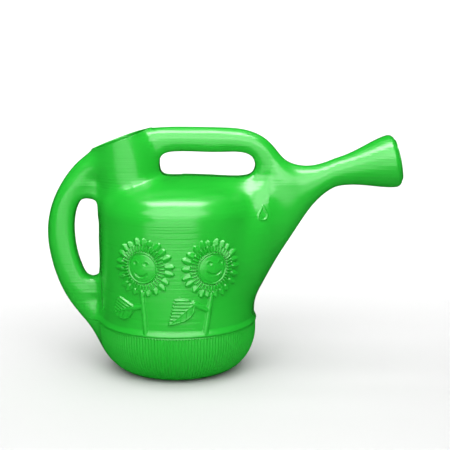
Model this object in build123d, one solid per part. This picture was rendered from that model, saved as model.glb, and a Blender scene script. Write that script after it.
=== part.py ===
"""A two-gallon plastic watering can: a blow-moulded body and the sprinkler rose that pushes into its spout.

Millimetres. The origin is the middle of the resting face, on the tank's axis. +X runs to the spout, +Z up.
The can is symmetric about the plane Y = 0, which is where its mould parts.

The body is one hollow moulding with a wall of even thickness: a round tank with a domed top, a neck with a
slanting mouth, a rear handle behind the tank, a carrying handle over it, and a spout that flares to the rose.
Each region is drawn by a function of its inset: 0 gives its outside, and the wall's thickness its hollow.
"""

from build123d import *
import os
from math import cos, radians, sin, tan

os.makedirs("parts", exist_ok=True)

WALL = 2.0

# Tank, drawn as an outline that turns about Z
WALL_RADIUS = 98.8
BOWL_RADIUS = 100.6
BAND_RADIUS = 101.6
RING_INNER_RADIUS, RING_OUTER_RADIUS = 45.0, 56.0
PUSH_UP_RADIUS, PUSH_UP_DEPTH = 40.0, 4.0
BOWL_CORNER_HEIGHT = 54.0
BAND_FOOT_Z, BAND_CREST_Z, BAND_HEAD_Z = 65.0, 66.8, 74.5
SHOULDER_Z, SHOULDER_RADIUS, SHOULDER_TURN = 203.0, 35.0, 70.0

# Ridge along the tank's top, under the carrying handle: X and half-depth of each section
RIDGE_SECTIONS = [(-40.0, 52.0), (30.0, 52.0), (70.0, 40.0), (100.0, 24.0)]
RIDGE_HALF_HEIGHT, RIDGE_TOP_Z = 40.0, 250.5

# Neck: Z, rearmost X and foremost X of each oval section, and the slanting plane of the mouth
NECK_SECTIONS = [(205.0, -98.3, -19.0), (283.0, -101.0, -22.5), (330.0, -103.0, -56.0)]
NECK_HALF_DEPTH = 37.0
MOUTH_LOW_X, MOUTH_LOW_Z, MOUTH_SLANT = -101.7, 286.0, 19.8

# Handles: half the section's height in the plane Y = 0, and half its depth across that plane
REAR_HALF_HEIGHT, REAR_HALF_DEPTH = 17.0, 15.0
REAR_PATH = [
    (-74, 277), (-106, 265), (-133, 236), (-147.3, 200), (-148.8, 164), (-140, 127), (-123, 96), (-104, 67),
    (-89, 43), (-74, 26),
]
CARRY_HALF_HEIGHT, CARRY_HALF_DEPTH = 15.6, 15.0
CARRY_PATH = [(-66, 291.5), (-20, 296.3), (48, 297.3), (98, 295), (129, 256)]
CARRY_LARGEST_BEND = 30.0

# Webs that round off the ends of the two finger gaps: outlines in X and Z, as wide as the handles' flanks
WEB_HALF_DEPTH = 10.0
REAR_TOP_WEB = [(-121, 223), (-115, 221), (-105, 220), (-99, 214), (-92, 228), (-105, 252), (-128, 236)]
REAR_LOW_WEB = [(-122, 131), (-117, 123), (-110, 120), (-96, 120), (-90, 95), (-112, 90), (-130, 122)]
CARRY_FRONT_WEB = [(100, 272), (99, 264), (96, 256), (91, 252), (84, 250), (90, 236), (120, 244), (116, 262)]
CARRY_REAR_WEB = [(-22, 268), (-19, 276), (-12, 281), (-12, 288), (-32, 288), (-32, 268)]
WEBS = [REAR_TOP_WEB, REAR_LOW_WEB, CARRY_FRONT_WEB, CARRY_REAR_WEB]

# Spout: each section stands across X, and runs from its lowest Z to its highest Z with a half-depth in Y
SPOUT_SECTIONS = [
    (60.0, 84.0, 244.0, 50.0),
    (84.0, 88.0, 246.0, 45.0),
    (104.0, 104.5, 250.0, 37.0),
    (126.0, 141.5, 262.0, 29.5),
    (148.0, 176.5, 264.0, 24.0),
    (168.0, 207.0, 263.3, 20.5),
    (186.0, 226.5, 266.5, 18.4),
]

# Flare: turned about the spout's end axis, which climbs at an angle from the spout's narrowest place
FLARE_X, FLARE_Z, FLARE_ANGLE = 205.0, 255.5, 11.4
FLARE_START_RADIUS, FLARE_END_RADIUS = 18.0, 33.6
FLARE_BEND_LENGTH, FLARE_BEND_RADIUS = 12.0, 20.0
RIM_ROUND = 8.0
FACE_LENGTH = 76.3
ROSE_HOLE_RADIUS = 24.0

# Rose
ROSE_WALL = 1.8
ROSE_SEAT_GAP = 0.15
ROSE_SKIRT_RADIUS, ROSE_BEAD_RADIUS = 23.6, 23.9
ROSE_BEAD_DEPTH, ROSE_BEAD_LENGTH = 3.0, 1.6
ROSE_SKIRT_LENGTH = 12.0
ROSE_FLANGE_RADIUS, ROSE_FLANGE_EDGE = 26.0, 1.0
ROSE_DOME_RISE = 2.2
SPRAY_HOLE_RADIUS = 0.9
SPRAY_RING_PITCH, SPRAY_RINGS = 5.0, 4

# A block this large clears the whole can
CLEAR = 400.0


def turned(outline):
    """The solid that a closed outline of radius and height makes as it turns about Z."""
    return revolve(Plane.XZ * make_face(Curve() + outline), Axis.Z)


def tank(inset):
    """The bowl on its standing ring, the band, the straight wall, the shoulder and the shallow dome."""
    bowl = BOWL_RADIUS - inset
    wall = WALL_RADIUS - inset
    band = BAND_RADIUS - inset
    ring_shift = 0.35 * inset
    floor_z = PUSH_UP_DEPTH + inset
    ring_end = (RING_OUTER_RADIUS, inset)
    bowl_end = (bowl, BOWL_CORNER_HEIGHT)
    shoulder_centre = (WALL_RADIUS - SHOULDER_RADIUS, SHOULDER_Z)
    dome_radius = SHOULDER_RADIUS + shoulder_centre[0] / cos(radians(SHOULDER_TURN))
    dome_centre = (0, SHOULDER_Z - shoulder_centre[0] * tan(radians(SHOULDER_TURN)))
    floor = Polyline(
        (0, floor_z), (PUSH_UP_RADIUS + ring_shift, floor_z), (RING_INNER_RADIUS + ring_shift, inset), ring_end
    )
    corner = EllipticalCenterArc(
        (RING_OUTER_RADIUS, BOWL_CORNER_HEIGHT), bowl - RING_OUTER_RADIUS, BOWL_CORNER_HEIGHT - inset,
        start_angle=270, arc_size=90,
    )
    side = Polyline(
        bowl_end, (bowl, BAND_FOOT_Z), (band, BAND_CREST_Z), (wall, BAND_HEAD_Z), (wall, SHOULDER_Z)
    )
    shoulder = CenterArc(shoulder_centre, SHOULDER_RADIUS - inset, 0, SHOULDER_TURN)
    dome = CenterArc(dome_centre, dome_radius - inset, SHOULDER_TURN, 90 - SHOULDER_TURN)
    top = (0, dome_centre[1] + dome_radius - inset)
    return turned([floor, corner, side, shoulder, dome, Line(top, (0, floor_z))])


def ridge(inset):
    """The rounded ridge that joins the neck to the spout along the top of the dome."""
    sections = []
    for x, half_depth in RIDGE_SECTIONS:
        oval = Ellipse(half_depth - inset, RIDGE_HALF_HEIGHT - inset)
        sections.append(Plane.YZ.offset(x) * Pos(0, RIDGE_TOP_Z - RIDGE_HALF_HEIGHT) * oval)
    return loft(sections)


def neck(inset):
    """The oval column under the mouth, long enough to be cut by the mouth's plane."""
    sections = []
    for z, rear_x, front_x in NECK_SECTIONS:
        oval = Ellipse((front_x - rear_x) / 2 - inset, NECK_HALF_DEPTH - inset)
        sections.append(Pos((front_x + rear_x) / 2, 0, z + inset) * oval)
    return loft(sections, ruled=True)


def rounded_path(points, largest):
    """Straight runs in the plane Y = 0 joined by tangent arcs, as large as the runs and the limit allow."""
    corners = [Vector(x, 0, z) for x, z in points]
    runs = [end - start for start, end in zip(corners, corners[1:])]
    radii = []
    for before, after in zip(runs, runs[1:]):
        half_turn = radians(before.get_angle(after)) / 2
        radii.append(min(0.45 * min(before.length, after.length) / tan(half_turn), largest))
    return FilletPolyline(*corners, radius=radii)


def handle(points, largest_bend, half_height, half_depth):
    """A tube of oval section along a rounded path."""
    path = rounded_path(points, largest_bend)
    start = Plane(origin=path @ 0, x_dir=(0, 1, 0), z_dir=path % 0)
    return sweep(start * Ellipse(half_depth, half_height), path=path)


def web(outline, inset):
    """A flat-sided web of the given outline, which closes the corner between a handle and the body."""
    face = offset(Polygon(*outline, align=None), amount=-inset) if inset else Polygon(*outline, align=None)
    return extrude(Plane.XZ * face, WEB_HALF_DEPTH - inset, both=True)


def spout(inset):
    """The tapering spout, lofted through its upright oval sections."""
    sections = []
    for x, low_z, high_z, half_depth in SPOUT_SECTIONS:
        oval = Ellipse(half_depth - inset, (high_z - low_z) / 2 - inset)
        sections.append(Plane.YZ.offset(x) * Pos(0, (low_z + high_z) / 2) * oval)
    narrowest = FLARE_START_RADIUS - inset
    sections.append(spout_end() * Ellipse(narrowest, narrowest))
    return loft(sections)


def spout_end():
    """The frame at the spout's narrowest place: its Z runs out along the flare and its X along the can's Y."""
    rise = radians(FLARE_ANGLE)
    return Plane(origin=(FLARE_X, 0, FLARE_Z), x_dir=(0, 1, 0), z_dir=(cos(rise), 0, sin(rise)))


def flare(inset):
    """The flared end with its rounded rim, up to the flat face that the rose sits on."""
    start, end = FLARE_START_RADIUS - inset, FLARE_END_RADIUS - inset
    bend = FLARE_BEND_RADIUS - inset
    rim_z = FACE_LENGTH - RIM_ROUND
    side = Polyline((0, 0), (start, 0), (bend, FLARE_BEND_LENGTH), (end, rim_z))
    rim = CenterArc((FLARE_END_RADIUS - RIM_ROUND, rim_z), RIM_ROUND - inset, 0, 90)
    face = Polyline((FLARE_END_RADIUS - RIM_ROUND, FACE_LENGTH - inset), (0, FACE_LENGTH - inset), (0, 0))
    return spout_end() * turned([side, rim, face])


def can_region(inset):
    """Every region of the moulding in one solid, at one inset."""
    rear = handle(REAR_PATH, CLEAR, REAR_HALF_HEIGHT - inset, REAR_HALF_DEPTH - inset)
    carry = handle(CARRY_PATH, CARRY_LARGEST_BEND, CARRY_HALF_HEIGHT - inset, CARRY_HALF_DEPTH - inset)
    region = tank(inset) + ridge(inset) + neck(inset) + rear + carry + spout(inset) + flare(inset)
    for outline in WEBS:
        region += web(outline, inset)
    return region


def above_mouth():
    """Everything above the slanting plane of the mouth."""
    block = Box(CLEAR, CLEAR, CLEAR, align=(Align.CENTER, Align.CENTER, Align.MIN))
    return Pos(MOUTH_LOW_X, 0, MOUTH_LOW_Z) * Rot(0, -MOUTH_SLANT, 0) * block


def can_body():
    """The hollow moulding, open at its mouth and at the hole for the rose."""
    hole = Pos(0, 0, FACE_LENGTH) * Cylinder(ROSE_HOLE_RADIUS, 4 * WALL)
    return can_region(0) - can_region(WALL) - above_mouth() - spout_end() * hole


def sprinkler_rose():
    """A shallow domed plate full of holes, with a skirt that pushes into the spout and a low bead on it."""
    seat = ROSE_SEAT_GAP
    edge = seat + ROSE_FLANGE_EDGE
    apex = edge + ROSE_DOME_RISE
    dome_radius = (ROSE_FLANGE_RADIUS**2 + ROSE_DOME_RISE**2) / (2 * ROSE_DOME_RISE)
    inner_radius = ROSE_SKIRT_RADIUS - ROSE_WALL
    inner_dome = dome_radius - ROSE_WALL
    centre_z = apex - dome_radius
    inner_edge = centre_z + (inner_dome**2 - inner_radius**2) ** 0.5
    bead_low, bead_high = -ROSE_BEAD_DEPTH - ROSE_BEAD_LENGTH, -ROSE_BEAD_DEPTH
    outside = ThreePointArc(
        (ROSE_FLANGE_RADIUS, edge),
        (ROSE_FLANGE_RADIUS / 2, centre_z + (dome_radius**2 - ROSE_FLANGE_RADIUS**2 / 4) ** 0.5),
        (0, apex),
    )
    inside = ThreePointArc(
        (0, apex - ROSE_WALL),
        (inner_radius / 2, centre_z + (inner_dome**2 - inner_radius**2 / 4) ** 0.5),
        (inner_radius, inner_edge),
    )
    skirt = Polyline(
        (inner_radius, inner_edge), (inner_radius, -ROSE_SKIRT_LENGTH), (ROSE_SKIRT_RADIUS, -ROSE_SKIRT_LENGTH),
        (ROSE_SKIRT_RADIUS, bead_low), (ROSE_BEAD_RADIUS, (bead_low + bead_high) / 2),
        (ROSE_SKIRT_RADIUS, bead_high), (ROSE_SKIRT_RADIUS, seat), (ROSE_FLANGE_RADIUS, seat),
        (ROSE_FLANGE_RADIUS, edge),
    )
    rose = turned([outside, Line((0, apex), (0, apex - ROSE_WALL)), inside, skirt])
    drill = Cylinder(SPRAY_HOLE_RADIUS, 4 * ROSE_SKIRT_LENGTH)
    holes = drill
    for ring in range(1, SPRAY_RINGS + 1):
        holes += PolarLocations(ring * SPRAY_RING_PITCH, 6 * ring) * drill
    return spout_end() * Pos(0, 0, FACE_LENGTH) * (rose - holes)


def main():
    body = can_body()
    rose = sprinkler_rose()
    for name, shape in {"can_body": body, "sprinkler_rose": rose}.items():
        export_step(shape, f"parts/{name}.step")
    brim = can_region(WALL) - above_mouth()
    print("solids", len(body.solids()), "valid", body.is_valid, "hollow litres", round(brim.volume / 1e6, 2))
    print("box", body.bounding_box())


main()
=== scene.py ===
"""A glossy green watering can with raised sunflowers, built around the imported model's frame.

Shapes are worked out in millimetres and written into the meshes in metres. The can's body is one skin.
A field gives each point's distance from the skin, negative inside, and a mesh is drawn where it is zero.
The ribbed bowl, the mouth's lip and the spout's rim have regular rows of points, sewn on to that mesh.
X runs from the rear handle to the spout, Y across the can, and Z up from the floor.
"""

import bmesh
import bpy
import numpy as np
import openvdb
from math import cos, pi, radians, sin, tan
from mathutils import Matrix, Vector


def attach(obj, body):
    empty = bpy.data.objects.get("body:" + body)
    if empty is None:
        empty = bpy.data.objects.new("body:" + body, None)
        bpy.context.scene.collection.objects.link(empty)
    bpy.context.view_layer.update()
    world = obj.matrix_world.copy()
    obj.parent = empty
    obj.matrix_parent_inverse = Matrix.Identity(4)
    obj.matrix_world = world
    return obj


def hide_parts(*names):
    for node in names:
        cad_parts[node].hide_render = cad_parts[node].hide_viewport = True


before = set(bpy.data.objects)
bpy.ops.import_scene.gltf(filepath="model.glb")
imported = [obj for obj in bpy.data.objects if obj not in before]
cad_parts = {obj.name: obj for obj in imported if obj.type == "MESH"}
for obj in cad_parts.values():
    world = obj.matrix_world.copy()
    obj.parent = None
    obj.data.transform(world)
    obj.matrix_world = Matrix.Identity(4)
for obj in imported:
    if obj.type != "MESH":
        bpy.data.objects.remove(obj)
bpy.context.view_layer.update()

MILLIMETRE = 0.001
WALL = 2.0

# Tank: a bowl with an elliptical corner, a band of (height, radius) rows with a groove and a bead in it,
# a straight wall, a shoulder that turns in by an angle in degrees, a shallow dome, and a pushed-up floor
BOWL_RADIUS, BOWL_CORNER, FOOT_RADIUS = 100.6, 54.0, 56.0
WALL_RADIUS = 98.8
BAND_PROFILE = [
    (BOWL_CORNER, BOWL_RADIUS), (63.4, BOWL_RADIUS), (64.4, 99.7), (65.3, 99.7), (65.8, 101.0),
    (66.3, 101.65), (67.0, 101.75), (68.2, 101.3), (70.2, 100.25), (71.8, 99.4), (73.0, 98.95),
    (74.0, WALL_RADIUS), (80.0, WALL_RADIUS),
]
SHOULDER_Z, SHOULDER_RADIUS, SHOULDER_TURN = 203.0, 35.0, 70.0
SHOULDER_X = WALL_RADIUS - SHOULDER_RADIUS
DOME_RADIUS = SHOULDER_RADIUS + SHOULDER_X / cos(radians(SHOULDER_TURN))
DOME_Z = SHOULDER_Z - SHOULDER_X * tan(radians(SHOULDER_TURN))
PUSH_UP_RADIUS, PUSH_UP_EDGE, PUSH_UP_DEPTH = 39.0, 6.0, 4.0

# The mouth's plane, and the trumpet at the spout's end: its axis starts at a point and climbs at an angle
MOUTH_SLANT, FLARE_CLIMB = radians(19.8), radians(11.4)
MOUTH_POINT = np.array([-101.7, 0.0, 286.7])
MOUTH_NORMAL = np.array([-sin(MOUTH_SLANT), 0.0, cos(MOUTH_SLANT)])
FLARE_POINT = np.array([205.0, 0.0, 255.5])
FLARE_AXIS = np.array([cos(FLARE_CLIMB), 0.0, sin(FLARE_CLIMB)])
FACE_LENGTH, RIM_ROUND, ROSE_HOLE_RADIUS = 76.3, 8.0, 24.0

# Corners of the space in which the field is sampled
BODY_LOW = np.array([-175.0, -112.0, -10.0])
BODY_HIGH = np.array([292.0, 112.0, 325.0])


def spline(knots, values):
    """A smooth curve through the values at rising knots, level beyond its ends."""
    knots = np.array(knots, float)
    values = np.array(values, float)
    gaps = np.diff(knots)
    slopes = np.diff(values) / gaps
    count = len(knots)
    system = np.eye(count)
    right = np.zeros(count)
    for i in range(1, count - 1):
        system[i, i - 1 : i + 2] = gaps[i - 1], 2 * (gaps[i - 1] + gaps[i]), gaps[i]
        right[i] = 6 * (slopes[i] - slopes[i - 1])
    bends = np.linalg.solve(system, right)

    def at(t):
        t = np.clip(t, knots[0], knots[-1])
        i = np.clip(np.searchsorted(knots, t) - 1, 0, count - 2)
        b = (t - knots[i]) / gaps[i]
        a = 1 - b
        bulge = ((a**3 - a) * bends[i] + (b**3 - b) * bends[i + 1]) * gaps[i] ** 2 / 6
        return a * values[i] + b * values[i + 1] + bulge

    return at


def step(t):
    """0 below 0, 1 above 1, and a smooth rise between."""
    t = np.clip(t, 0.0, 1.0)
    return t * t * (3 - 2 * t)


def smooth_union(a, b, reach):
    """The union of two fields, with a fillet where their values differ by less than the reach."""
    near = np.maximum(reach - np.abs(a - b), 0) / reach
    return np.minimum(a, b) - near**3 * reach / 6


def oval(u, v, half_u, half_v):
    """The distance from an ellipse, near enough close to it."""
    outward = np.sqrt((u / half_u) ** 2 + (v / half_v) ** 2 + 1e-8)
    slope = np.sqrt((u / half_u**2) ** 2 + (v / half_v**2) ** 2 + 1e-8 / (half_u * half_v))
    return outward * (outward - 1) / slope


def tank_field(r, z):
    """The bowl, the wall with its band, the shoulder and the dome, over a pushed-up floor."""
    turn = np.arctan2(z - DOME_Z, r)
    heights, radii = zip(*BAND_PROFILE)
    wall = r - np.interp(z, heights, radii)
    bowl = oval(np.maximum(r - FOOT_RADIUS, 0), z - BOWL_CORNER, BOWL_RADIUS - FOOT_RADIUS, BOWL_CORNER)
    shoulder = np.hypot(r - SHOULDER_X, z - SHOULDER_Z) - SHOULDER_RADIUS
    dome = np.hypot(r, z - DOME_Z) - DOME_RADIUS
    side = np.where(z > SHOULDER_Z, shoulder, np.where(z > BOWL_CORNER, wall, bowl))
    side = np.where(turn > radians(SHOULDER_TURN), dome, side)
    floor = PUSH_UP_DEPTH * step((PUSH_UP_RADIUS + PUSH_UP_EDGE - r) / PUSH_UP_EDGE) - z
    return np.maximum(side, floor)


RIDGE_DEPTH = spline((-40, 30, 70, 100), (52, 52, 40, 24))
RIDGE_TOP = spline((-40, 0, 30, 60, 100), (246.6, 246.8, 247.0, 247.4, 248))
RIDGE_HALF_HEIGHT, RIDGE_MIDDLE, RIDGE_HALF_LENGTH = 40.0, 30, 75


def ridge_field(x, y, z):
    """The rounded ridge along the top of the dome, under the carrying handle."""
    across = oval(y, z - RIDGE_TOP(x) + RIDGE_HALF_HEIGHT, RIDGE_DEPTH(x), RIDGE_HALF_HEIGHT)
    return np.maximum(across, np.abs(x - RIDGE_MIDDLE) - RIDGE_HALF_LENGTH)


NECK_FRONT = spline((200, 250, 283, 308, 330), (-18, -21, -27, -40.5, -56))
NECK_REAR = spline((205, 250, 283, 330), (-96, -99.5, -101.5, -103))
NECK_DEPTH = spline((205, 283, 330), (37, 36.5, 35.5))
NECK_FOOT = 205


def neck_field(x, y, z):
    """The oval column under the mouth."""
    front = NECK_FRONT(z)
    rear = NECK_REAR(z)
    column = oval(x - (front + rear) / 2, y, (front - rear) / 2, NECK_DEPTH(z))
    return np.maximum(column, NECK_FOOT - z)


SPOUT_X = (60, 104, 126, 148, 168, 186, 205, 216)
SPOUT_LOW = spline(SPOUT_X, (80, 104.5, 141.5, 176.5, 207, 226.5, 237, 239.3))
SPOUT_HIGH = spline(SPOUT_X, (242, 248.5, 262, 264.3, 263.3, 267, 274, 278))
SPOUT_DEPTH = spline(SPOUT_X, (55, 44, 31, 25, 21, 18.8, 18, 18.6))
FLARE_RADIUS = spline((-20, 0, 18, 37, 55, 64, 68.3), (18.6, 18, 20.6, 25.8, 31.1, 33, 33.5))
SPOUT_START, FLARE_BLEND_START, FLARE_BLEND_LENGTH = 20, 190, 24


def spout_field(x, y, z):
    """The tapering spout, and the trumpet that it ends in."""
    low = SPOUT_LOW(x)
    high = SPOUT_HIGH(x)
    spout = oval(z - (low + high) / 2, y, (high - low) / 2, SPOUT_DEPTH(x))
    spout = np.maximum(spout, SPOUT_START - x)
    along = (x - FLARE_POINT[0]) * FLARE_AXIS[0] + (z - FLARE_POINT[2]) * FLARE_AXIS[2]
    up = (z - FLARE_POINT[2]) * FLARE_AXIS[0] - (x - FLARE_POINT[0]) * FLARE_AXIS[2]
    flare = np.maximum(np.hypot(up, y) - FLARE_RADIUS(along), along - FACE_LENGTH)
    share = step((x - FLARE_BLEND_START) / FLARE_BLEND_LENGTH)
    return spout * (1 - share) + flare * share


def smooth_path(points, count):
    """Points on a smooth curve through (x, z, half-height, half-depth) rows."""
    rows = np.array(points, float)
    lengths = np.hypot(*np.diff(rows[:, :2], axis=0).T)
    knots = np.concatenate([[0], np.cumsum(lengths)])
    at = np.linspace(0, knots[-1], count)
    return np.stack([spline(knots, column)(at) for column in rows.T], axis=1)


REAR_HANDLE = smooth_path([
    (-74, 276, 17, 18), (-106, 262.5, 16.5, 17), (-131, 236.5, 15.6, 14.5), (-145.5, 205, 16, 14),
    (-148.6, 176, 17, 14), (-143.8, 142, 17.1, 14), (-128.5, 102, 16.8, 14.5), (-101.5, 66, 16.8, 15.5),
    (-72, 24, 16, 16),
], 180)
CARRY_HANDLE = smooth_path([
    (-66, 290.5, 15, 17), (-22, 296.1, 15.6, 14.8), (22, 296.9, 15.5, 14.5), (62, 296.2, 15.3, 14.5),
    (84, 294.9, 14.2, 14.6), (104, 286.5, 13.8, 15), (117, 270, 15.5, 17), (134, 243, 17, 20),
], 150)


# Far from a bar or a gap its field only says so, which saves time
FAR = 60.0
BAR_MARGIN, GAP_MARGIN = 45, 35


def in_box(x, z, outline, margin):
    """Which points lie in the box round an outline in X and Z, with a margin."""
    low = outline.min(axis=0) - margin
    high = outline.max(axis=0) + margin
    return (x > low[0]) & (x < high[0]) & (z > low[1]) & (z < high[1])


def along_segment(u, v, start, end):
    """Where a segment comes nearest to each point, as a share of its length, and the distance squared."""
    run_u = end[0] - start[0]
    run_v = end[1] - start[1]
    share = ((u - start[0]) * run_u + (v - start[1]) * run_v) / (run_u**2 + run_v**2)
    share = np.clip(share, 0, 1)
    return share, (u - start[0] - share * run_u) ** 2 + (v - start[1] - share * run_v) ** 2


def handle_field(x, y, z, path):
    """A bar with an oval section round a smooth path in the plane Y = 0."""
    if np.ndim(x) == 1:
        near = (np.abs(y) < FAR) & in_box(x, z, path[:, :2], BAR_MARGIN)
        if not near.all():
            field = np.full(len(x), FAR)
            if near.any():
                field[near] = handle_field(x[near], y[near], z[near], path)
            return field
    nearest = np.full(np.broadcast(x, z).shape, 1e6)
    height = np.full(nearest.shape, 15.0)
    depth = np.full(nearest.shape, 15.0)
    for start, end in zip(path, path[1:]):
        share, away = along_segment(x, z, start, end)
        closer = away < nearest
        nearest = np.where(closer, away, nearest)
        height = np.where(closer, start[2] + share * (end[2] - start[2]), height)
        depth = np.where(closer, start[3] + share * (end[3] - start[3]), depth)
    return oval(np.sqrt(nearest), y, height, depth)


def closed_curve(points, count):
    """Points on a smooth closed curve through the given ones."""
    rows = np.array(points + points[:3], float)
    rows = np.concatenate([np.array(points[-3:], float), rows])
    knots = np.concatenate([[0], np.cumsum(np.hypot(*np.diff(rows, axis=0).T))])
    at = np.linspace(knots[3], knots[3 + len(points)], count + 1)
    return np.stack([spline(knots, column)(at) for column in rows.T], axis=1)


CARRY_GAP = closed_curve([
    (-10, 281.6), (38, 282.2), (84, 281.0), (95, 276), (99.2, 265), (94.5, 254.0), (84, 249.0), (38, 247.6),
    (-12, 248.8), (-20, 254), (-22.4, 264), (-19.3, 276),
], 110)
REAR_GAP = closed_curve([
    (-97.6, 206), (-97.6, 168), (-97.6, 132), (-101.5, 123.5), (-109, 120), (-116.5, 122.6), (-122, 131),
    (-127.8, 147), (-132, 172), (-131, 199), (-127.5, 213), (-121.5, 220), (-113, 221.6), (-103.5, 218.6),
], 110)


def gap_field(x, z, outline):
    """The distance from a gap's outline in X and Z, negative in the gap."""
    if np.ndim(x) == 1:
        near = in_box(x, z, outline, GAP_MARGIN)
        if not near.all():
            field = np.full(len(x), FAR)
            if near.any():
                field[near] = gap_field(x[near], z[near], outline)
            return field
    nearest = np.full(np.broadcast(x, z).shape, 1e6)
    inside = np.zeros(nearest.shape, bool)
    for start, end in zip(outline, outline[1:]):
        _, away = along_segment(x, z, start, end)
        nearest = np.minimum(nearest, away)
        crosses = (start[1] > z) != (end[1] > z)
        if end[1] != start[1]:
            slope = (end[0] - start[0]) / (end[1] - start[1])
            inside ^= crosses & (x < start[0] + (z - start[1]) * slope)
    distance = np.sqrt(nearest)
    return np.where(inside, -distance, distance)


GAP_WEBS = ((CARRY_GAP, 17), (REAR_GAP, 26))
WEB_HALF_FLAT, WEB_ROUND = 4, 9


def web_field(x, y, z):
    """A web all round each finger gap, which rounds off the gap's ends and hides in the bars elsewhere."""
    webs = 100.0
    for outline, width in GAP_WEBS:
        gap = gap_field(x, z, outline)
        webs = np.minimum(webs, np.maximum(-gap, gap - width))
    over = np.maximum(webs + WEB_ROUND, 0)
    beside = np.maximum(np.abs(y) - WEB_HALF_FLAT, 0)
    return np.hypot(over, beside) - WEB_ROUND


# The reach of each join's fillet
RIDGE_FILLET, NECK_FILLET, SPOUT_FILLET, CARRY_FILLET, REAR_FILLET = 16, 16, 26, 22, 24


def body_field(x, y, z):
    """The whole can's outside, before its raised decoration."""
    field = tank_field(np.hypot(x, y), z)
    field = smooth_union(field, ridge_field(x, y, z), RIDGE_FILLET)
    field = smooth_union(field, neck_field(x, y, z), NECK_FILLET)
    field = smooth_union(field, spout_field(x, y, z), SPOUT_FILLET)
    field = smooth_union(field, handle_field(x, y, z, CARRY_HANDLE), CARRY_FILLET)
    field = smooth_union(field, handle_field(x, y, z, REAR_HANDLE), REAR_FILLET)
    # The webs' fillet is small round the gaps' edges, which keep their outline, and wider on the sides
    web_fillet = 5 + 10 * step((np.abs(y) - 5) / 7)
    return smooth_union(field, web_field(x, y, z), web_fillet)


def inner_field(x, y, z):
    """The hollow's surface, one wall thickness inside."""
    return body_field(x, y, z) + WALL


# A field's gradient at a point comes from four samples close round it
TETRAHEDRON = np.array([(1, 1, 1), (1, -1, -1), (-1, 1, -1), (-1, -1, 1)], float)
SAMPLE_REACH = 0.08
LEAST_SLOPE = 0.1
LONGEST_SHIFT = 2.0


def sample(field, points):
    """The field and its gradient at each point."""
    total = 0
    gradient = np.zeros_like(points)
    for corner in TETRAHEDRON:
        value = field(*(points + SAMPLE_REACH * corner).T)
        total = total + value
        gradient += value[:, None] * corner
    return total / 4, gradient / (4 * SAMPLE_REACH)


def unit(vectors):
    """The vectors, each scaled to length 1."""
    return vectors / np.maximum(np.linalg.norm(vectors, axis=-1, keepdims=True), 1e-9)


def settle(field, points, steps=1):
    """Moves points along the field's gradient on to its surface."""
    for _ in range(steps):
        value, gradient = sample(field, points)
        size = np.maximum((gradient**2).sum(axis=1), LEAST_SLOPE)
        shift = -gradient * (value / size)[:, None]
        length = np.linalg.norm(shift, axis=1, keepdims=True)
        points = points + shift * np.minimum(1, LONGEST_SHIFT / np.maximum(length, 1e-9))
    return points


# The grid keeps distances up to a limit; evening out moves points part of the way to their neighbours' mean
GRID_LIMIT, EVENING_SHARE, EVENING_ROUNDS = 10.0, 0.6, 3


def skin(field, pitch):
    """A mesh of quads on the field's surface, evened out, as points and corner numbers."""
    counts = np.ceil((BODY_HIGH - BODY_LOW) / pitch).astype(int) + 1
    x, y, z = (BODY_LOW[k] + pitch * np.arange(counts[k]) for k in range(3))
    values = field(x[:, None, None], y[None, :, None], z[None, None, :])
    values = np.clip(values, -GRID_LIMIT, GRID_LIMIT)
    grid = openvdb.FloatGrid(background=GRID_LIMIT)
    grid.copyFromArray(np.ascontiguousarray(values, dtype=np.float32))
    grid.transform = openvdb.createLinearTransform(1.0)
    points, quads = grid.convertToQuads(0.0)
    points = BODY_LOW + pitch * np.array(points, float)
    quads = np.array(quads)
    edges = np.concatenate([quads[:, [k, (k + 1) % 4]] for k in range(4)])
    edges = np.unique(np.sort(edges, axis=1), axis=0)
    ends = np.concatenate([edges[:, 0], edges[:, 1]])
    others = np.concatenate([edges[:, 1], edges[:, 0]])
    number = np.maximum(np.bincount(ends, minlength=len(points)), 1)
    for _ in range(EVENING_ROUNDS):
        _, gradient = sample(field, points)
        normal = unit(gradient)
        sums = [np.bincount(ends, points[others, k], len(points)) for k in range(3)]
        mean = np.stack(sums, axis=1) / number[:, None]
        shift = EVENING_SHARE * (mean - points)
        shift -= normal * (shift * normal).sum(axis=1, keepdims=True)
        points = settle(field, points + shift)
    return points, quads


# How near a cutting plane points move on to it, as a share of the pitch, and what counts as in a plane
NEAR_CUT, IN_PLANE = 0.35, 0.05


def settle_level(field, points, normal):
    """Moves points within a plane on to the field's surface."""
    for _ in range(3):
        value, gradient = sample(field, points)
        gradient -= (gradient @ normal)[:, None] * normal
        size = np.maximum((gradient**2).sum(axis=1), LEAST_SLOPE)
        points = points - gradient * (value / size)[:, None]
    return points


def cut(points, quads, field, planes, pitch):
    """A bmesh of the part of a skin that lies behind every plane, with clean cut edges.

    Points close to a plane move on to it first, so that the cut leaves no slivers.
    """
    for origin, normal in planes:
        off = (points - origin) @ normal
        near = np.abs(off) < NEAR_CUT * pitch
        points[near] = settle_level(field, points[near] - off[near, None] * normal, normal)
    mesh = bmesh.new()
    corners = [mesh.verts.new(p) for p in points]
    for quad in quads.tolist():
        mesh.faces.new([corners[i] for i in quad])
    for origin, normal in planes:
        everything = mesh.verts[:] + mesh.edges[:] + mesh.faces[:]
        bmesh.ops.bisect_plane(
            mesh, geom=everything, dist=0.01, plane_co=origin, plane_no=normal, clear_outer=True
        )
        edge = edge_loop(mesh, origin, normal)
        for vert, place in zip(edge, settle_level(field, np.array([v.co for v in edge]), normal)):
            vert.co = place
    return mesh


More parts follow.
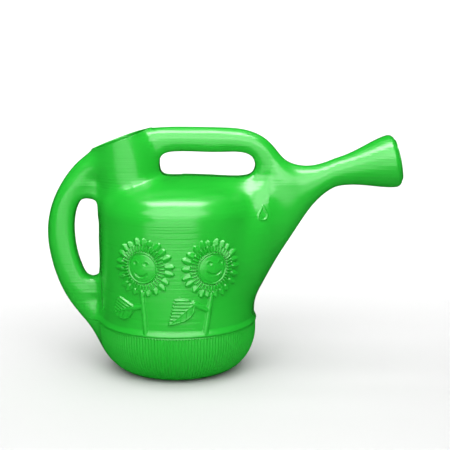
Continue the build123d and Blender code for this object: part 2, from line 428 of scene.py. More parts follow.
def edge_loop(mesh, origin, normal):
    """The open edge's points that lie in a plane."""
    found = set()
    for edge in mesh.edges:
        if len(edge.link_faces) == 1:
            ends = [np.array(v.co) for v in edge.verts]
            if all(abs((p - origin) @ normal) < IN_PLANE for p in ends):
                found.update(edge.verts)
    return list(found)


def turned_order(verts, centre, across, up):
    """The points in order round a centre, by angle from 0 to a whole turn."""
    rows = []
    for vert in verts:
        off = np.array(vert.co) - centre
        rows.append((np.arctan2(off @ up, off @ across) % (2 * pi), vert))
    rows.sort(key=lambda row: row[0])
    return [vert for _, vert in rows]


def places(loop, centre, across, up):
    """How far round a closed loop each point lies, as a share of its length from angle 0."""
    points = np.array([v.co for v in loop])
    closed = np.concatenate([points, points[:1]])
    lengths = np.linalg.norm(np.diff(closed, axis=0), axis=1)
    off = points[0] - centre
    angle = np.arctan2(off @ up, off @ across)
    start = angle * np.linalg.norm(off)
    return (start + np.concatenate([[0], np.cumsum(lengths[:-1])])) / lengths.sum()


def sew(mesh, first, second, centre, across, up):
    """Fills the gap between two closed loops, which both run the same way from near angle 0."""
    place_a = places(first, centre, across, up)
    place_b = places(second, centre, across, up)
    i = j = 0
    while i < len(first) or j < len(second):
        next_a = place_a[i + 1] if i + 1 < len(first) else place_a[0] + 1
        next_b = place_b[j + 1] if j + 1 < len(second) else place_b[0] + 1
        a = first[i % len(first)]
        b = second[j % len(second)]
        if j >= len(second) or (i < len(first) and next_a <= next_b):
            mesh.faces.new([a, first[(i + 1) % len(first)], b])
            i += 1
        else:
            mesh.faces.new([a, second[(j + 1) % len(second)], b])
            j += 1


def rows_of_faces(mesh, rows):
    """Quads between each closed row of points and the next."""
    loops = [[mesh.verts.new(p) for p in row] for row in rows]
    for above, below in zip(loops, loops[1:]):
        for i in range(len(above)):
            k = (i + 1) % len(above)
            mesh.faces.new([above[i], above[k], below[k], below[i]])
    return loops


# A ray looks for the surface in paces, then halves the last one
PACE, HALVINGS = 3.0, 13


def surface_between(field, origins, ways, near, far):
    """The surface's place on rays that are inside the field at near and outside at far."""
    for _ in range(HALVINGS):
        middle = (near + far) / 2
        value = field(*(origins + middle[:, None] * ways).T)
        near = np.where(value < 0, middle, near)
        far = np.where(value < 0, far, middle)
    return origins + ((near + far) / 2)[:, None] * ways


def rim(field, origin, across, up, angles, start=2.0, reach=150.0):
    """Where rays from a point in a plane leave the field's inside."""
    ways = np.cos(angles)[:, None] * across + np.sin(angles)[:, None] * up
    near = np.full(len(angles), start)
    far = np.full(len(angles), reach)
    found = np.zeros(len(angles), bool)
    for distance in np.arange(start, reach, PACE):
        waiting = np.flatnonzero(~found)
        if not len(waiting):
            break
        value = field(*(origin + distance * ways[waiting]).T)
        leaving = waiting[value > 0]
        far[leaving] = distance
        near[leaving] = distance - PACE
        found[leaving] = True
    return surface_between(field, origin, ways, near, far)


# Raised decoration, drawn on the wall unrolled: across from the middle of each side, and up
FLOWERS = [
    # across, up, turn of the petals, eyes, and the smile's middle, bend and half-width
    (-39.0, 151.0, 0.15, ((-8.3, 5.9), (4.9, 5.4)), (-1.2, -10.5, 0.055, 9.0)),
    (47.5, 149.5, 0.6, ((-3.9, 6.9), (10.6, 6.9)), (1.9, -6.9, 0.037, 10.5)),
]
STEMS = [((-39.6, 118), (-35.5, 68.6)), ((46.4, 118), (38.1, 68.6))]
PETIOLES = [((-60.0, 97.5), (-40.0, 103.4)), ((23.7, 107.7), (39.5, 99.8))]
STEM_SIZE, PETIOLE_SIZE = (3.3, 2.9), (3.6, 2.9)
LEAVES = [
    # tip, base, then distances along the midrib, with the upper and the lower half-widths at them
    (
        (-85.0, 89.3), (-50.5, 101.5),
        (0, 6, 16, 24, 32, 37), (0, 8.5, 17, 15, 7, 1.5), (0, 6.5, 12, 12, 6.5, 1.5),
    ),
    (
        (-7.9, 80.8), (23.7, 107.7),
        (0, 8, 20, 31, 38, 43), (0, 5.5, 14, 18.5, 12, 1.5), (0, 4.5, 9.5, 10, 6.5, 1.5),
    ),
]
LEAF_SLANT, LEAF_RIDGE, LEAF_VEIN = 1.1, 6.0, 9.0

# A flower's radii from its middle outwards, and how petals vary: longer at the sides, and each a little
PETALS, RAYS = 22, 38
DISC_RADIUS, RAYS_START, RAYS_END, PETAL_FOOT, PETAL_TIP, FLOWER_RADIUS = 19.0, 19.5, 29.4, 32.8, 36.6, 43
SIDE_LENGTHENING, TIP_VARIATION, LEAN_VARIATION = 3.4, 1.1, 0.22
PETAL_HEIGHT, PETAL_EDGE_HEIGHT, RAY_HEIGHT, RAY_FOOT_HEIGHT = 3.0, 0.6, 2.8, 0.7
BEAD_SIZE, GROOVE_SIZE = 1.3, 0.9
DISC_HEIGHT, DISC_DOME, DISC_EDGE_DEPTH = 1.5, 2.2, 0.6
EYE_WIDTH, EYE_DEPTH, EYE_STRETCH = 2.9, 1.7, 1.25
BROW_RADIUS, BROW_WIDTH, BROW_HEIGHT = 3.3, 1.0, 0.5
SMILE_WIDTH, SMILE_DEPTH, LIP_DROP, LIP_WIDTH, LIP_HEIGHT = 1.8, 1.7, 2.2, 1.2, 0.5

# How far the decoration reaches on the wall, and the drop's place, outline and line on the spout's flank
WALL_HALF_WIDTH, WALL_TOP, WALL_SLACK = 95, 195, 5
EMBLEM_X, EMBLEM_Z, EMBLEM_REACH, EMBLEM_LEAST_Y = 108.3, 209.0, 12, 20
EMBLEM_HEIGHT, EMBLEM_LINE = 1.3, 1.9
DROP = ((0, 8.6), (2.6, 3.4), (5.4, -1.6), (4.6, -6.4), (0, -8.6), (-4.6, -6.4), (-5.4, -1.6), (-2.6, 3.4))
EMBLEM = closed_curve([(EMBLEM_X + x, EMBLEM_Z + z) for x, z in DROP], 60)


def bump(distance, width):
    """1 on a line and 0 beyond its width, rounded."""
    return step(1 - np.abs(distance) / width)


def disc_relief(across, up, eyes, smile):
    """A flower's domed disc, with two eyes that have a brow each, and a plain smile."""
    radius = np.hypot(across, up)
    height = DISC_HEIGHT + DISC_DOME * (1 - (radius / DISC_RADIUS) ** 2)
    height = height - DISC_EDGE_DEPTH * bump(radius - DISC_RADIUS + 2.0, 1.0)
    for eye_across, eye_up in eyes:
        off = np.hypot((across - eye_across) / EYE_STRETCH, up - eye_up)
        brow = bump(off - BROW_RADIUS, BROW_WIDTH) * (up > eye_up)
        height = height - EYE_DEPTH * step(1 - off / EYE_WIDTH) + BROW_HEIGHT * brow
    smile_across, smile_up, bend, half_width = smile
    run = across - smile_across
    line = (up - smile_up - bend * run**2) / np.sqrt(1 + (2 * bend * run) ** 2)
    taper = step((half_width - np.abs(run)) / 2.0)
    height = height - SMILE_DEPTH * bump(line, SMILE_WIDTH) * taper
    return height + LIP_HEIGHT * bump(line + LIP_DROP, LIP_WIDTH) * taper


def flower_relief(across, up, turn, eyes, smile):
    """A sunflower: pointed outer petals, short inner rays, a bead with a groove round it, and the disc."""
    radius = np.hypot(across, up)
    angle = np.arctan2(up, across) / (2 * pi)
    petal = (angle * PETALS + turn) % PETALS
    number = np.floor(petal)
    side = 2 * (petal - number) - 1 + LEAN_VARIATION * np.sin(4.1 * number + 9 * turn)
    side = np.clip(np.abs(side), 0, 1)
    tip = PETAL_TIP + SIDE_LENGTHENING * np.cos(2 * pi * angle) ** 2
    tip = tip + TIP_VARIATION * np.sin(2.4 * number + 5 * turn)
    edge = PETAL_FOOT + (tip - PETAL_FOOT) * (1 - side**1.7)
    outer = step((edge - radius) / 1.3) * (PETAL_EDGE_HEIGHT + PETAL_HEIGHT * (1 - side) ** 0.8)
    rays = (0.5 + 0.5 * np.cos(2 * pi * RAYS * angle)) ** 1.3
    ring = step((radius - RAYS_START) / 1.2) * step((RAYS_END - radius) / 1.8)
    inner = RAY_FOOT_HEIGHT + RAY_HEIGHT * rays * ring
    overlap = np.maximum(inner, outer * step((radius - RAYS_END + 3.0) / 2.6))
    height = np.where(radius < RAYS_END, overlap, outer)
    height = np.where(radius < DISC_RADIUS, disc_relief(across, up, eyes, smile), height)
    bead = BEAD_SIZE * bump(radius - DISC_RADIUS + 0.4, BEAD_SIZE)
    return height + bead - GROOVE_SIZE * bump(radius - DISC_RADIUS - 1.4, GROOVE_SIZE)


def bar_relief(across, up, start, end, half_width, height):
    """A rounded bar from one point to another."""
    _, away = along_segment(across, up, start, end)
    return height * np.sqrt(np.maximum(1 - away / half_width**2, 0))


def stem_relief(across, up):
    """The two stems."""
    return np.maximum(*(bar_relief(across, up, start, end, *STEM_SIZE) for start, end in STEMS))


def leaf_relief(across, up, tip, base, knots, upper, lower):
    """A pointed leaf: a midrib, ridges over its upper half, and faint veins in its lower half."""
    along = unit(np.subtract(base, tip))
    s = (across - tip[0]) * along[0] + (up - tip[1]) * along[1]
    t = (up - tip[1]) * along[0] - (across - tip[0]) * along[1]
    slanted = s + LEAF_SLANT * np.abs(t)
    wave = np.cos(2 * pi * slanted / LEAF_RIDGE)
    top = spline(knots, upper)(s) * (1 + 0.09 * wave)
    bottom = spline(knots, lower)(s)
    room = np.where(t > 0, top - t, bottom + t)
    room = np.where((s > 0) & (s < knots[-1]), room, -1)
    blade = step(room / 1.3)
    ridges = 0.5 + 0.5 * wave
    veins = 1 - bump((slanted % LEAF_VEIN) - LEAF_VEIN / 2, 1.5)
    surface = np.where(t > 0, 1.2 + 1.9 * ridges * step(t / 2), 1.6 + 0.8 * veins * step(-t / 2))
    midrib = 1.5 * bump(t, 1.6) * step((s + 1) / 3)
    rim_line = 0.6 * bump(room - 1.3, 1.2) * (t < 0)
    return blade * (surface + midrib + rim_line)


def wall_relief(across, up):
    """How far the decoration stands out of the wall."""
    height = stem_relief(across, up)
    for start, end in PETIOLES:
        height = np.maximum(height, bar_relief(across, up, start, end, *PETIOLE_SIZE))
    for leaf in LEAVES:
        height = np.maximum(height, leaf_relief(across, up, *leaf))
    for flower_across, flower_up, *details in FLOWERS:
        shape = flower_relief(across - flower_across, up - flower_up, *details)
        near = np.hypot(across - flower_across, up - flower_up) < FLOWER_RADIUS
        height = np.where(near, np.maximum(height, shape), height)
    return height


def emblem_relief(x, z):
    """A plain raised drop in outline, on the spout's flank."""
    return EMBLEM_HEIGHT * bump(gap_field(x, z, EMBLEM), EMBLEM_LINE)


def unrolled(x, y):
    """How far across from the middle of its side a point round the wall lies."""
    return WALL_RADIUS * np.arctan2(x, np.abs(y))


def relief(points):
    """The decoration's height at points on the can's outside."""
    x, y, z = points.T
    across = unrolled(x, y)
    wall = (np.abs(across) < WALL_HALF_WIDTH) & (z < WALL_TOP)
    wall &= np.abs(np.hypot(x, y) - WALL_RADIUS) < WALL_SLACK
    height = np.where(wall, wall_relief(across, z), 0)
    flank = (np.abs(x - EMBLEM_X) < EMBLEM_REACH) & (np.abs(z - EMBLEM_Z) < EMBLEM_REACH)
    flank &= np.abs(y) > EMBLEM_LEAST_Y
    return np.where(flank, emblem_relief(x, z), height)


UP = np.array([0.0, 0.0, 1.0])
X_WAY = np.array([1.0, 0.0, 0.0])
Y_WAY = np.array([0.0, 1.0, 0.0])
ORIGIN = np.zeros(3)
OUTER_PITCH, INNER_PITCH = 2.8, 5.5

# Where the field's mesh is cut: level above the band, a little below the mouth, and across the trumpet
SEW_Z, SEW_MIDDLE_Z, CUT_BELOW_MOUTH, FLARE_CUT, FLARE_SEW_WIDTH = 80.0, 79.0, 2.2, 26.0, 2.5
MOUTH_HALF_LENGTH = 34.0
MOUTH_ACROSS = np.array([MOUTH_NORMAL[2], 0.0, -MOUTH_NORMAL[0]])
MOUTH_CENTRE = MOUTH_POINT + MOUTH_HALF_LENGTH * MOUTH_ACROSS
MOUTH_CUT_CENTRE = MOUTH_CENTRE - CUT_BELOW_MOUTH * MOUTH_NORMAL
FLARE_UP = np.array([-FLARE_AXIS[2], 0.0, FLARE_AXIS[0]])
FLARE_CUT_CENTRE = FLARE_POINT + FLARE_CUT * FLARE_AXIS
MOUTH_PLANE = (MOUTH_CUT_CENTRE, MOUTH_NORMAL)
FLARE_PLANE = (FLARE_CUT_CENTRE, FLARE_AXIS)
SEW_PLANE = (SEW_Z * UP, -UP)
LIP_COLUMNS, FLARE_COLUMNS, FLOOR_COLUMNS = 200, 120, 96

# The ribs fade out below the band's groove and above the foot, and where the handle's foot covers the tank
RIBS, RIB_COLUMNS, RIB_DEPTH, TANK_SLACK = 160, 6, 1.15, 0.6
RIBS_TOP, RIBS_TOP_FADE, RIBS_FOOT, RIBS_FOOT_FADE = 64.4, 1.6, 5.0, 9.0

# Rows of points down the bowl: heights on the band, then dips in degrees round the corner
BAND_HEIGHTS = (
    78.4, 77.0, 75.8, 74.8, 74.0, 73.2, 72.4, 71.4, 70.2, 69.0, 68.1, 67.4, 66.8, 66.3, 65.9, 65.5,
    65.1, 64.6, 64.1, 63.6, 62.8, 61.6, 59.5, 57.0, 54.0,
)
RIBBED_DIPS, PLAIN_DIPS = np.arange(6, 80, 6), (82.0, 86.0, 90.0)
FOOT_RADII, PUSH_UP_RADII = (52.5, 49.0, 46.5), (45.0, 43.5, 42.0, 40.5, 39.0, 30.0, 20.0, 10.0)
STEM_FOOT = 64

# Where rays start inside the wall and the corner, and the most paces that they go on from the corner.
# The handle's foot takes up a half-angle of the bowl, in degrees.
WALL_START, CORNER_START, CORNER_PACES = 95.0, 36.0, 16
HANDLE_FOOT_HALF_ANGLE = 13.5

# Faces within this reach of the decoration are divided finely, as are those under it
CARVE_REACH, CARVE_LEAST = 3.2, 0.02


def carve(mesh):
    """Divides the faces under the decoration finely and raises them."""
    centres = np.array([face.calc_center_median() for face in mesh.faces])
    found = np.zeros(len(centres), bool)
    for turn in np.linspace(0, 2 * pi, 8, endpoint=False):
        offset = CARVE_REACH * np.array([cos(turn), 0, sin(turn)])
        found |= np.abs(relief(centres + offset)) > CARVE_LEAST
    found |= np.abs(relief(centres)) > CARVE_LEAST
    chosen = [face for face, inside in zip(mesh.faces, found) if inside]
    edges = list({edge for face in chosen for edge in face.edges})
    before = len(mesh.verts)
    bmesh.ops.subdivide_edges(mesh, edges=edges, cuts=3, use_grid_fill=True)
    mesh.verts.ensure_lookup_table()
    points = np.array([v.co for v in mesh.verts])
    touched = np.arange(len(points)) >= before
    touched |= relief(points) > 0
    moved = settle(body_field, points[touched], 2)
    _, gradient = sample(body_field, moved)
    moved = moved + unit(gradient) * relief(moved)[:, None]
    for i, place in zip(np.flatnonzero(touched), moved):
        mesh.verts[i].co = place


def bowl_angles(row, count):
    """Angles round the axis, evenly spaced but for the handle's foot, where they share the row's length."""
    angles = 2 * pi * np.arange(count) / count
    half = int(round(count * HANDLE_FOOT_HALF_ANGLE / 360))
    first = count // 2 - half
    last = count // 2 + half
    fine = np.linspace(angles[first], angles[last], 300)
    points = row(fine)
    lengths = np.concatenate([[0], np.cumsum(np.linalg.norm(np.diff(points, axis=0), axis=1))])
    angles[first : last + 1] = np.interp(np.linspace(0, lengths[-1], last - first + 1), lengths, fine)
    return angles


def wall_row(z):
    """A level row round the can at height z."""
    return lambda angles: rim(body_field, z * UP, X_WAY, Y_WAY, angles, start=WALL_START)


def corner_row(turn):
    """A row round the bowl's corner, where rays that dip by an angle leave it."""

    def row(angles):
        out = np.cos(angles)[:, None] * X_WAY + np.sin(angles)[:, None] * Y_WAY
        origins = FOOT_RADIUS * out + BOWL_CORNER * UP
        ways = cos(turn) * out - sin(turn) * UP
        near = np.full(len(angles), CORNER_START)
        for _ in range(CORNER_PACES):
            waiting = np.flatnonzero(body_field(*(origins + (near + PACE)[:, None] * ways).T) < 0)
            if not len(waiting):
                break
            near[waiting] += PACE
        points = surface_between(body_field, origins, ways, near, near + PACE)
        # Nothing dips below the floor
        points[:, 2] = np.maximum(points[:, 2], 0)
        return points

    return row


def bowl_rows():
    """The rows from the wall down over the band and the ribs to the foot."""
    rows = []
    count = RIBS * RIB_COLUMNS
    ways = [wall_row(z) for z in BAND_HEIGHTS] + [corner_row(turn) for turn in radians(1) * RIBBED_DIPS]
    groove = 0.5 - 0.5 * np.cos(2 * pi * np.arange(count) / RIB_COLUMNS)
    for way in ways:
        angles = bowl_angles(way, count)
        points = way(angles)
        x, y, z = points.T
        out = np.stack([np.cos(angles), np.sin(angles), 0 * angles], axis=1)
        radius = np.hypot(x, y)
        stem = np.where(z > STEM_FOOT, stem_relief(unrolled(np.cos(angles), np.sin(angles)), z), 0)
        lift = np.where(stem > 0, np.maximum(WALL_RADIUS + stem - radius, 0), 0)
        _, gradient = sample(body_field, points)
        normal = unit(gradient)
        on_tank = np.abs(tank_field(radius, z)) < TANK_SLACK
        fade = step((RIBS_TOP - z) / RIBS_TOP_FADE) * step((z - RIBS_FOOT) / RIBS_FOOT_FADE) * on_tank
        points = points + out * lift[:, None] - normal * (RIB_DEPTH * groove * fade)[:, None]
        rows.append(points)
    return rows


def level_circle(radius, z, count):
    """Points on a level circle round the axis."""
    angles = 2 * pi * np.arange(count) / count
    return np.stack([radius * np.cos(angles), radius * np.sin(angles), np.full(count, z)], axis=1)


def add_bowl(mesh):
    """The band, the ribbed bowl and the foot, sewn on to the wall's cut edge."""
    cut_edge = edge_loop(mesh, SEW_Z * UP, UP)
    cut_edge = turned_order(cut_edge, SEW_Z * UP, X_WAY, Y_WAY)
    loops = rows_of_faces(mesh, bowl_rows())
    sew(mesh, cut_edge, loops[0], SEW_MIDDLE_Z * UP, X_WAY, Y_WAY)
    even = 2 * pi * np.arange(RIBS) / RIBS
    corner = [corner_row(turn)(even) for turn in radians(1) * np.array(PLAIN_DIPS)]
    low = rows_of_faces(mesh, corner + [level_circle(radius, 0.0, RIBS) for radius in FOOT_RADII])
    sew(mesh, loops[-1], low[0], ORIGIN, X_WAY, Y_WAY)
    push_up = []
    for radius in PUSH_UP_RADII:
        rise = PUSH_UP_DEPTH * step((PUSH_UP_RADIUS + PUSH_UP_EDGE - radius) / PUSH_UP_EDGE)
        push_up.append(level_circle(radius, float(rise), FLOOR_COLUMNS))
    floor = rows_of_faces(mesh, push_up)
    sew(mesh, low[-1], floor[0], ORIGIN, X_WAY, Y_WAY)
    middle = mesh.verts.new((0, 0, PUSH_UP_DEPTH))
    for a, b in zip(floor[-1], floor[-1][1:] + floor[-1][:1]):
        mesh.faces.new([a, b, middle])


def add_lip(mesh, outer_edge, inner_edge):
    """The mouth's rounded lip, from the outside's cut edge over to the hollow's."""
    angles = 2 * pi * np.arange(LIP_COLUMNS) / LIP_COLUMNS
    centre = MOUTH_CENTRE - WALL / 2 * MOUTH_NORMAL
    outside = rim(body_field, centre, MOUTH_ACROSS, Y_WAY, angles)
    inside = rim(inner_field, centre, MOUTH_ACROSS, Y_WAY, angles)
    middle = (outside + inside) / 2
    half = (outside - inside) / 2
    size = np.linalg.norm(half, axis=1, keepdims=True)
    rows = []
    for turn in np.linspace(0, pi, 8):
        rows.append(middle + half * cos(turn) + MOUTH_NORMAL * np.minimum(size, WALL / 2) * sin(turn))
    loops = rows_of_faces(mesh, rows)
    sew(mesh, outer_edge, loops[0], centre, MOUTH_ACROSS, Y_WAY)
    sew(mesh, inner_edge, loops[-1], centre, MOUTH_ACROSS, Y_WAY)


def add_rim(mesh, outer_edge, inner_edge):
    """The trumpet's last part, its rounded rim, its face, and the hole that the rose plugs into."""
    start = FLARE_CUT + FLARE_SEW_WIDTH
    end = FACE_LENGTH - RIM_ROUND
    back = RIM_ROUND - WALL
    rim_radius = float(FLARE_RADIUS(end)) - RIM_ROUND
    outline = [(s, float(FLARE_RADIUS(s))) for s in np.linspace(start, end, 16)]
    for turn in np.linspace(0, pi / 2, 12)[1:]:
        outline.append((end + RIM_ROUND * sin(turn), rim_radius + RIM_ROUND * cos(turn)))
    outline += [(FACE_LENGTH, ROSE_HOLE_RADIUS + 0.6), (FACE_LENGTH - 0.2, ROSE_HOLE_RADIUS + 0.15)]
    outline += [(FACE_LENGTH - 0.6, ROSE_HOLE_RADIUS), (FACE_LENGTH - WALL + 0.3, ROSE_HOLE_RADIUS)]
    outline += [(FACE_LENGTH - WALL, ROSE_HOLE_RADIUS + 0.3)]
    for turn in np.linspace(pi / 2, 0, 7):
        outline.append((end + back * sin(turn), rim_radius + back * cos(turn)))
    outline += [(s, float(FLARE_RADIUS(s)) - WALL) for s in np.linspace(end, start, 8)[1:]]
    angles = 2 * pi * np.arange(FLARE_COLUMNS) / FLARE_COLUMNS
    ways = np.cos(angles)[:, None] * FLARE_UP + np.sin(angles)[:, None] * Y_WAY
    loops = rows_of_faces(mesh, [FLARE_POINT + s * FLARE_AXIS + radius * ways for s, radius in outline])
    sew(mesh, outer_edge, loops[0], FLARE_CUT_CENTRE, FLARE_UP, Y_WAY)
    sew(mesh, inner_edge, loops[-1], FLARE_CUT_CENTRE, FLARE_UP, Y_WAY)


def edges_round(mesh):
    """The cut edges at the mouth and at the trumpet, each in order."""
    mouth_edge = turned_order(edge_loop(mesh, *MOUTH_PLANE), MOUTH_CUT_CENTRE, MOUTH_ACROSS, Y_WAY)
    flare_edge = turned_order(edge_loop(mesh, *FLARE_PLANE), FLARE_CUT_CENTRE, FLARE_UP, Y_WAY)
    return mouth_edge, flare_edge


def merged(mesh, other):
    """Adds another mesh's points and faces, and returns a map to them."""
    copies = {vert: mesh.verts.new(vert.co) for vert in other.verts}
    for face in other.faces:
        mesh.faces.new([copies[vert] for vert in face.verts])
    return copies


def can_mesh():
    """The whole can, outside and hollow, as one closed mesh."""
    points, quads = skin(body_field, OUTER_PITCH)
    mesh = cut(points, quads, body_field, [MOUTH_PLANE, FLARE_PLANE, SEW_PLANE], OUTER_PITCH)
    carve(mesh)
    outer_mouth, outer_flare = edges_round(mesh)
    points, quads = skin(inner_field, INNER_PITCH)
    hollow = cut(points, quads, inner_field, [MOUTH_PLANE, FLARE_PLANE], INNER_PITCH)
    inner_mouth, inner_flare = edges_round(hollow)
    copies = merged(mesh, hollow)
    add_lip(mesh, outer_mouth, [copies[v] for v in inner_mouth])
    add_rim(mesh, outer_flare, [copies[v] for v in inner_flare])
    add_bowl(mesh)
    bmesh.ops.recalc_face_normals(mesh, faces=mesh.faces)
    hollow.free()
    return mesh


# How near a point lies to the field's surface, and how alike the two normals are, where the field's is used
ON_SURFACE, ALIKE = 0.25, 0.9


def true_normals(data, field):
    """Gives the points on the field's plain surface the field's own normals, so that gloss runs evenly."""
    count = len(data.vertices)
    points = np.empty(count * 3)
    data.vertices.foreach_get("co", points)
    points = points.reshape(-1, 3) / MILLIMETRE
    normals = np.empty(count * 3)
    data.vertices.foreach_get("normal", normals)
    normals = normals.reshape(-1, 3)
    chosen = np.flatnonzero(points[:, 2] > SEW_Z + 0.5)
    chosen = chosen[relief(points[chosen]) == 0]
    value, gradient = sample(field, points[chosen])
    exact = unit(gradient)
    exact *= np.sign((exact * normals[chosen]).sum(axis=1, keepdims=True))
    agrees = (np.abs(value) < ON_SURFACE) & ((exact * normals[chosen]).sum(axis=1) > ALIKE)
    normals[chosen[agrees]] = exact[agrees]
    data.normals_split_custom_set_from_vertices(normals.tolist())


def finished(mesh, name):
    """A smooth-shaded object in metres from a bmesh in millimetres."""
    bmesh.ops.scale(mesh, vec=Vector((MILLIMETRE,) * 3), verts=mesh.verts)
    data = bpy.data.meshes.new(name)
    mesh.to_mesh(data)
    mesh.free()
    data.shade_smooth()
    piece = bpy.data.objects.new(name, data)
    bpy.context.scene.collection.objects.link(piece)
    return piece


can = finished(can_mesh(), "can_body_skin")
true_normals(can.data, body_field)
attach(can, "can")
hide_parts("can_body")
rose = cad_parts["sprinkler_rose"]


def add_node(tree, kind, inputs=None, **settings):
    """A shader node with its settings and inputs, where an input may be another node's output."""
    node = tree.nodes.new(kind)
    for key, value in settings.items():
        setattr(node, key, value)
    for key, value in (inputs or {}).items():
        if isinstance(value, bpy.types.NodeSocket):
            tree.links.new(value, node.inputs[key])
        else:
            node.inputs[key].default_value = value
    return node


def green_plastic(name, colour, shade, mark_depth):
    """Glossy moulded polyethylene: slight clouding, fine level tool marks, and a faint orange-peel skin."""
    material = bpy.data.materials.new(name)
    material.use_nodes = True
    tree = material.node_tree
    tree.nodes.clear()

    def noise(vector, scale, detail):
        return add_node(tree, "ShaderNodeTexNoise", {"Vector": vector, "Scale": scale, "Detail": detail})

    place = add_node(tree, "ShaderNodeTexCoord").outputs["Object"]
    cloud = noise(place, 14.0, 3.0).outputs["Fac"]
    tint = add_node(tree, "ShaderNodeMix", {
        "Factor": cloud, "A": (*shade, 1), "B": (*colour, 1),
    }, data_type="RGBA")
    stretched = add_node(tree, "ShaderNodeMapping", {"Vector": place, "Scale": (7.0, 7.0, 360.0)})
    marks = noise(stretched.outputs["Vector"], 1.0, 1.0).outputs["Fac"]
    patches = noise(place, 22.0, 0.0).outputs["Fac"]
    centred = add_node(tree, "ShaderNodeMath", {0: marks, 1: 0.5}, operation="SUBTRACT")
    mark_height = add_node(tree, "ShaderNodeMath", {
        0: centred.outputs["Value"], 1: patches,
    }, operation="MULTIPLY")
    peel = noise(place, 420.0, 2.0).outputs["Fac"]
    marked = add_node(tree, "ShaderNodeBump", {
        "Height": mark_height.outputs["Value"], "Strength": 1.0, "Distance": mark_depth,
    })
    peeled = add_node(tree, "ShaderNodeBump", {
        "Height": peel, "Strength": 1.0, "Distance": 0.00003, "Normal": marked.outputs["Normal"],
    })
    dulled = add_node(tree, "ShaderNodeMapRange", {
        "Value": cloud, "From Min": 0.3, "From Max": 0.7, "To Min": 0.2, "To Max": 0.27,
    }, clamp=False)
    shader = add_node(tree, "ShaderNodeBsdfPrincipled", {
        "Base Color": tint.outputs["Result"], "Roughness": dulled.outputs["Result"],
        "Normal": peeled.outputs["Normal"], "IOR": 1.5, "Specular IOR Level": 0.5,
    })
    add_node(tree, "ShaderNodeOutputMaterial", {"Surface": shader.outputs["BSDF"]})
    return material


def paint(piece, material):
    """Makes a material the piece's only one."""
    piece.data.materials.clear()
    piece.data.materials.append(material)


BODY_COLOUR, BODY_SHADE, BODY_MARKS = (0.012, 0.36, 0.022), (0.010, 0.325, 0.018), 0.0005
ROSE_COLOUR, ROSE_SHADE, ROSE_MARKS = (0.011, 0.31, 0.019), (0.009, 0.28, 0.016), 0.00005

paint(can, green_plastic("body_plastic", BODY_COLOUR, BODY_SHADE, BODY_MARKS))
rose_material = green_plastic("rose_plastic", ROSE_COLOUR, ROSE_SHADE, ROSE_MARKS)
for place in rose.material_slots:
    place.material = rose_material


def plain_material(name, colour, roughness):
    """An even material."""
    material = bpy.data.materials.new(name)
    material.use_nodes = True
    shader = material.node_tree.nodes["Principled BSDF"]
    shader.inputs["Base Color"].default_value = (*colour, 1)
    shader.inputs["Roughness"].default_value = roughness
    return material


# The floor in metres: how far it runs forward and to each side, and the curve up to the backdrop's top.
# A row of points between its front and the curve keeps its shading level.
FLOOR_ROW = -4.0
FLOOR_FRONT, FLOOR_SIDE, CURVE_START, CURVE_RADIUS, BACKDROP_TOP = -14.0, 12.0, 1.6, 1.2, 4.5
FLOOR_COLOUR, FLOOR_ROUGHNESS = (0.52, 0.52, 0.52), 0.9


def add_floor():
    """A pale floor that curves up into a backdrop."""
    outline = [(FLOOR_FRONT, 0.0), (FLOOR_ROW, 0.0), (CURVE_START, 0.0)]
    for turn in np.linspace(0, pi / 2, 13)[1:]:
        outline.append((CURVE_START + CURVE_RADIUS * sin(turn), CURVE_RADIUS - CURVE_RADIUS * cos(turn)))
    outline.append((CURVE_START + CURVE_RADIUS, BACKDROP_TOP))
    mesh = bmesh.new()
    rows = [[mesh.verts.new((x, y, z)) for y, z in outline] for x in (-FLOOR_SIDE, FLOOR_SIDE)]
    for i in range(len(outline) - 1):
        mesh.faces.new([rows[0][i], rows[1][i], rows[1][i + 1], rows[0][i + 1]])
    data = bpy.data.meshes.new("floor")
    mesh.to_mesh(data)
    mesh.free()
    data.shade_smooth()
    floor = bpy.data.objects.new("floor", data)
    bpy.context.scene.collection.objects.link(floor)
    paint(floor, plain_material("floor_white", FLOOR_COLOUR, FLOOR_ROUGHNESS))
    floor.visible_glossy = False


def add_light(name, place, target, size, power, gloss_only=False):
    """A rectangular light that faces a target, and with gloss_only adds highlights and nothing else."""
    light = bpy.data.lights.new(name, "AREA")
    light.shape = "RECTANGLE"
    light.size, light.size_y = size
    light.energy = power
    holder = bpy.data.objects.new(name, light)
    holder.location = place
    way = Vector(target) - Vector(place)
    holder.rotation_euler = way.to_track_quat("-Z", "Y").to_euler()
    holder.visible_camera = False
    holder.visible_diffuse = not gloss_only
    bpy.context.scene.collection.objects.link(holder)


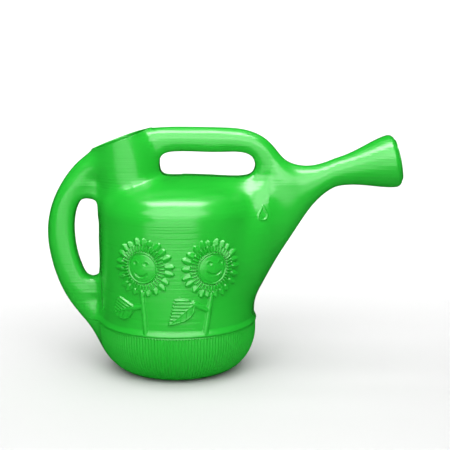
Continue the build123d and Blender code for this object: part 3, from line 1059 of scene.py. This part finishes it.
def add_soft_highlight(name, place, target, widths, height, watts_per_metre):
    """Lights of several widths in one place, which together add a highlight with soft ends."""
    for number, width in enumerate(widths):
        power = watts_per_metre * width
        add_light(f"{name}_{number}", place, target, (width, height), power, gloss_only=True)


# Lights: places in metres and power in watts
CAN_MIDDLE = (0.0, 0.0, 0.2)
OVERHEAD_TARGET = (0.0, -0.16, 0.0)
FRONT_PLACE = (0.0, -1.0, 1.13)

add_floor()
add_light("overhead", (0.0, -0.17, 1.25), OVERHEAD_TARGET, (1.2, 0.65), 9)
add_light("front_top", FRONT_PLACE, CAN_MIDDLE, (1.9, 0.85), 23)
add_light("front_fill", (0.0, -2.6, 0.95), (0.0, 0.0, 0.15), (3.2, 1.7), 34)
add_light("backdrop_light", (0.0, 0.7, 1.9), (0.0, 2.8, 0.9), (2.5, 0.6), 125)
add_light("overhead_gloss", (0.0, -0.2, 1.25), OVERHEAD_TARGET, (1.1, 0.36), 15, gloss_only=True)
add_soft_highlight("front_gloss", FRONT_PLACE, CAN_MIDDLE, (2.4, 1.6, 1.2, 0.8), 0.42, 7.5)
add_soft_highlight("front_strip", (-0.1, -0.95, 0.1), CAN_MIDDLE, (1.4, 1.05, 0.7, 0.4), 0.3, 1.9)

WORLD_STRENGTH = 0.34
bpy.context.scene.view_settings.view_transform = "Standard"
world = bpy.data.worlds.new("studio")
world.use_nodes = True
background = world.node_tree.nodes["Background"]
background.inputs["Color"].default_value = (1, 1, 1, 1)
background.inputs["Strength"].default_value = WORLD_STRENGTH
bpy.context.scene.world = world
world.cycles_visibility.glossy = False

# The camera looks down a little from in front, with a long lens
CAMERA_PLACE, CAMERA_DIP, LENS, SENSOR_WIDTH = (0.0612, -1.350, 0.434), 10.38, 85.8, 36.0
camera_data = bpy.data.cameras.new("camera")
camera_data.sensor_width = SENSOR_WIDTH
camera_data.lens = LENS
camera = bpy.data.objects.new("camera", camera_data)
camera.location = CAMERA_PLACE
camera.rotation_euler = (radians(90 - CAMERA_DIP), 0, 0)
bpy.context.scene.collection.objects.link(camera)
bpy.context.scene.camera = camera
